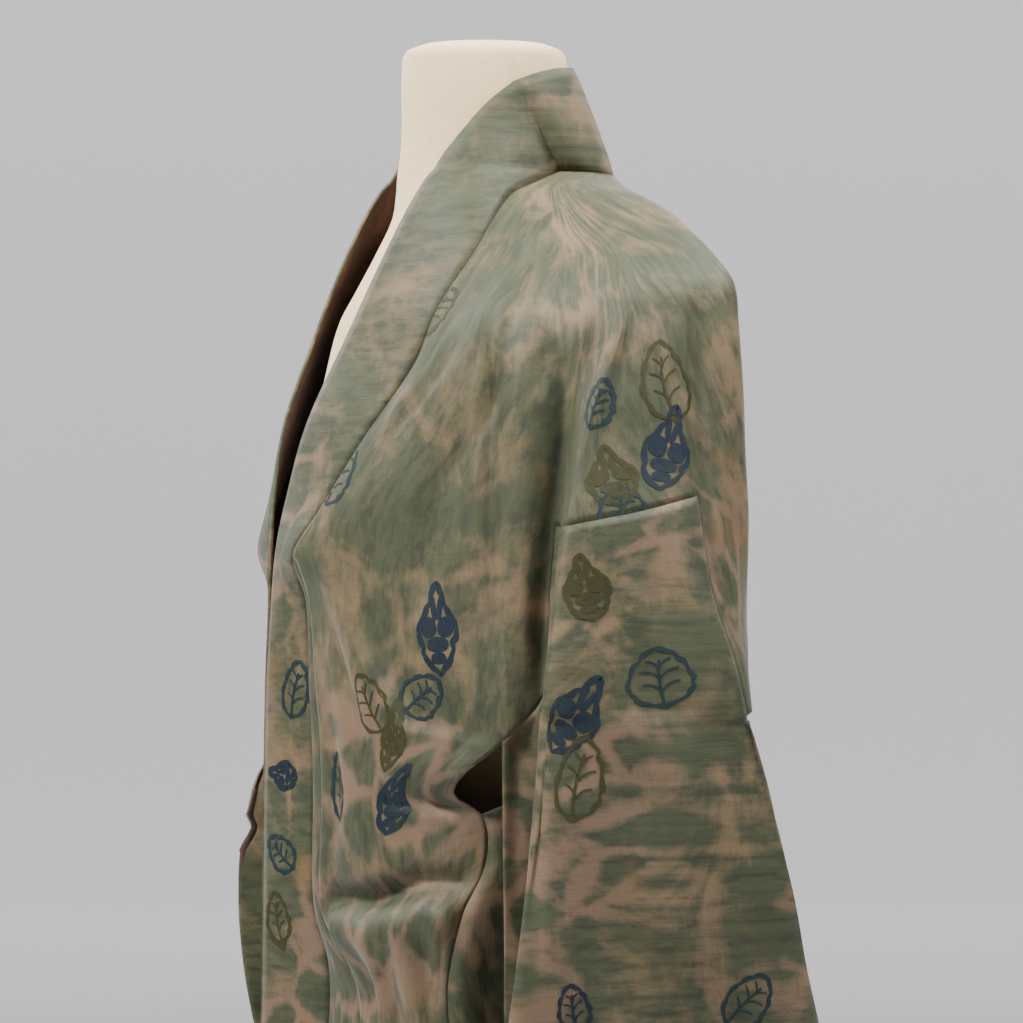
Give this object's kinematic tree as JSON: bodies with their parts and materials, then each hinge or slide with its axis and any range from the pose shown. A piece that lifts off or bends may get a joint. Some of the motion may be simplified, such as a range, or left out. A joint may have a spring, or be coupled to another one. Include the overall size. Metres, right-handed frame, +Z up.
{
  "type": "kimono on a dress form",
  "caption": "Open kimono with a mottled green and tan ground and printed leaves, hung on a limbless dress form with a pole and round base.",
  "frame": {"origin": "centre of the stand base's underside, on the floor", "axes": "+Z up the pole and neck, -Y the way the wearer faces, +X the wearer's left"},
  "size_m": [0.4974, 0.3442, 1.598],
  "materials": {
    "printed_silk": "soft matt sheen, mottled green and tan with printed leaves",
    "form_linen": "matt woven cover",
    "stand_metal": "satin black"
  },
  "bodies": {
    "root": {"body_left": "printed_silk", "body_right": "printed_silk", "sleeve_left": "printed_silk", "sleeve_right": "printed_silk", "okumi_left": "printed_silk", "okumi_right": "printed_silk", "collar": "printed_silk", "dress_form": "form_linen", "stand_pole": "stand_metal", "stand_base": "stand_metal"}
  },
  "joints": []
}
